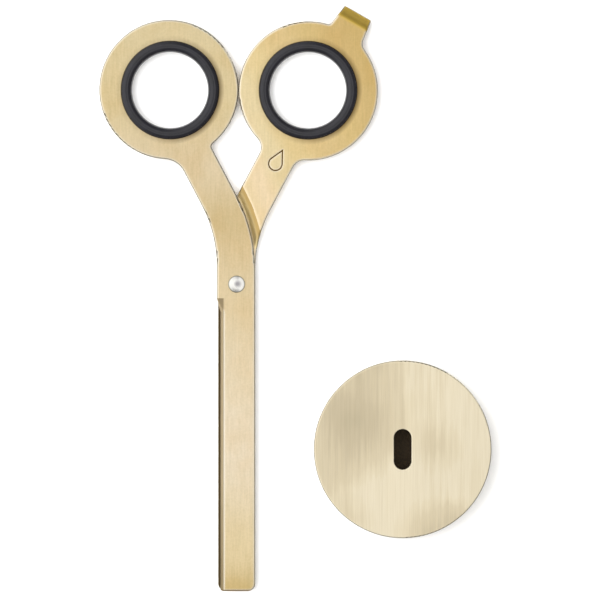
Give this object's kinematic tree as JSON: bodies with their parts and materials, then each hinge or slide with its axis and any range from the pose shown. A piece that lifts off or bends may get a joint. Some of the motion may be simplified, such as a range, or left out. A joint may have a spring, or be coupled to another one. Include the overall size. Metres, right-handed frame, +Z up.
{
  "type": "wick trimming scissors with stand",
  "caption": "Flat sheet-metal scissors with straight blunt blades, rubber-lined round handles and a bent finger tab, lying beside a round slotted stand.",
  "frame": {"origin": "on the pivot's axis, level with the rivet's flat tail that lies on the table", "axes": "+Y from the pivot towards the handles, +X towards the right handle and the stand, +Z up"},
  "size_m": [0.1221, 0.1823, 0.01],
  "materials": {
    "coated_sheet": "satin, brass-coloured coating on steel sheet",
    "polished_rivet": "polished",
    "slip_washer": "plain thin plastic",
    "plain_washer": "plain",
    "dark_rubber": "smooth, slightly glossy",
    "coated_disc": "fine brushed grain, champagne-coloured coating",
    "dark_foam": "matt"
  },
  "bodies": {
    "front_half": {"front_blade": "coated_sheet", "finger_ring_left": "dark_rubber", "pivot_rivet": "polished_rivet", "pivot_washer": "slip_washer", "back_washer": "plain_washer"},
    "rear_half": {"rear_blade": "coated_sheet", "finger_ring_right": "dark_rubber"},
    "stand": {"stand_disc": "coated_disc", "stand_pad": "dark_foam"}
  },
  "joints": [
    {"name": "pivot", "type": "hinge", "parent": "front_half", "child": "rear_half", "pos_m": [0, 0, 0], "axis": [0, 0, -1], "range_deg": [0, 70]},
    {"name": "stand_aside", "type": "slide", "parent": "front_half", "child": "stand", "axis": [1, 0, 0], "range_m": [0, 0.06]}
  ]
}
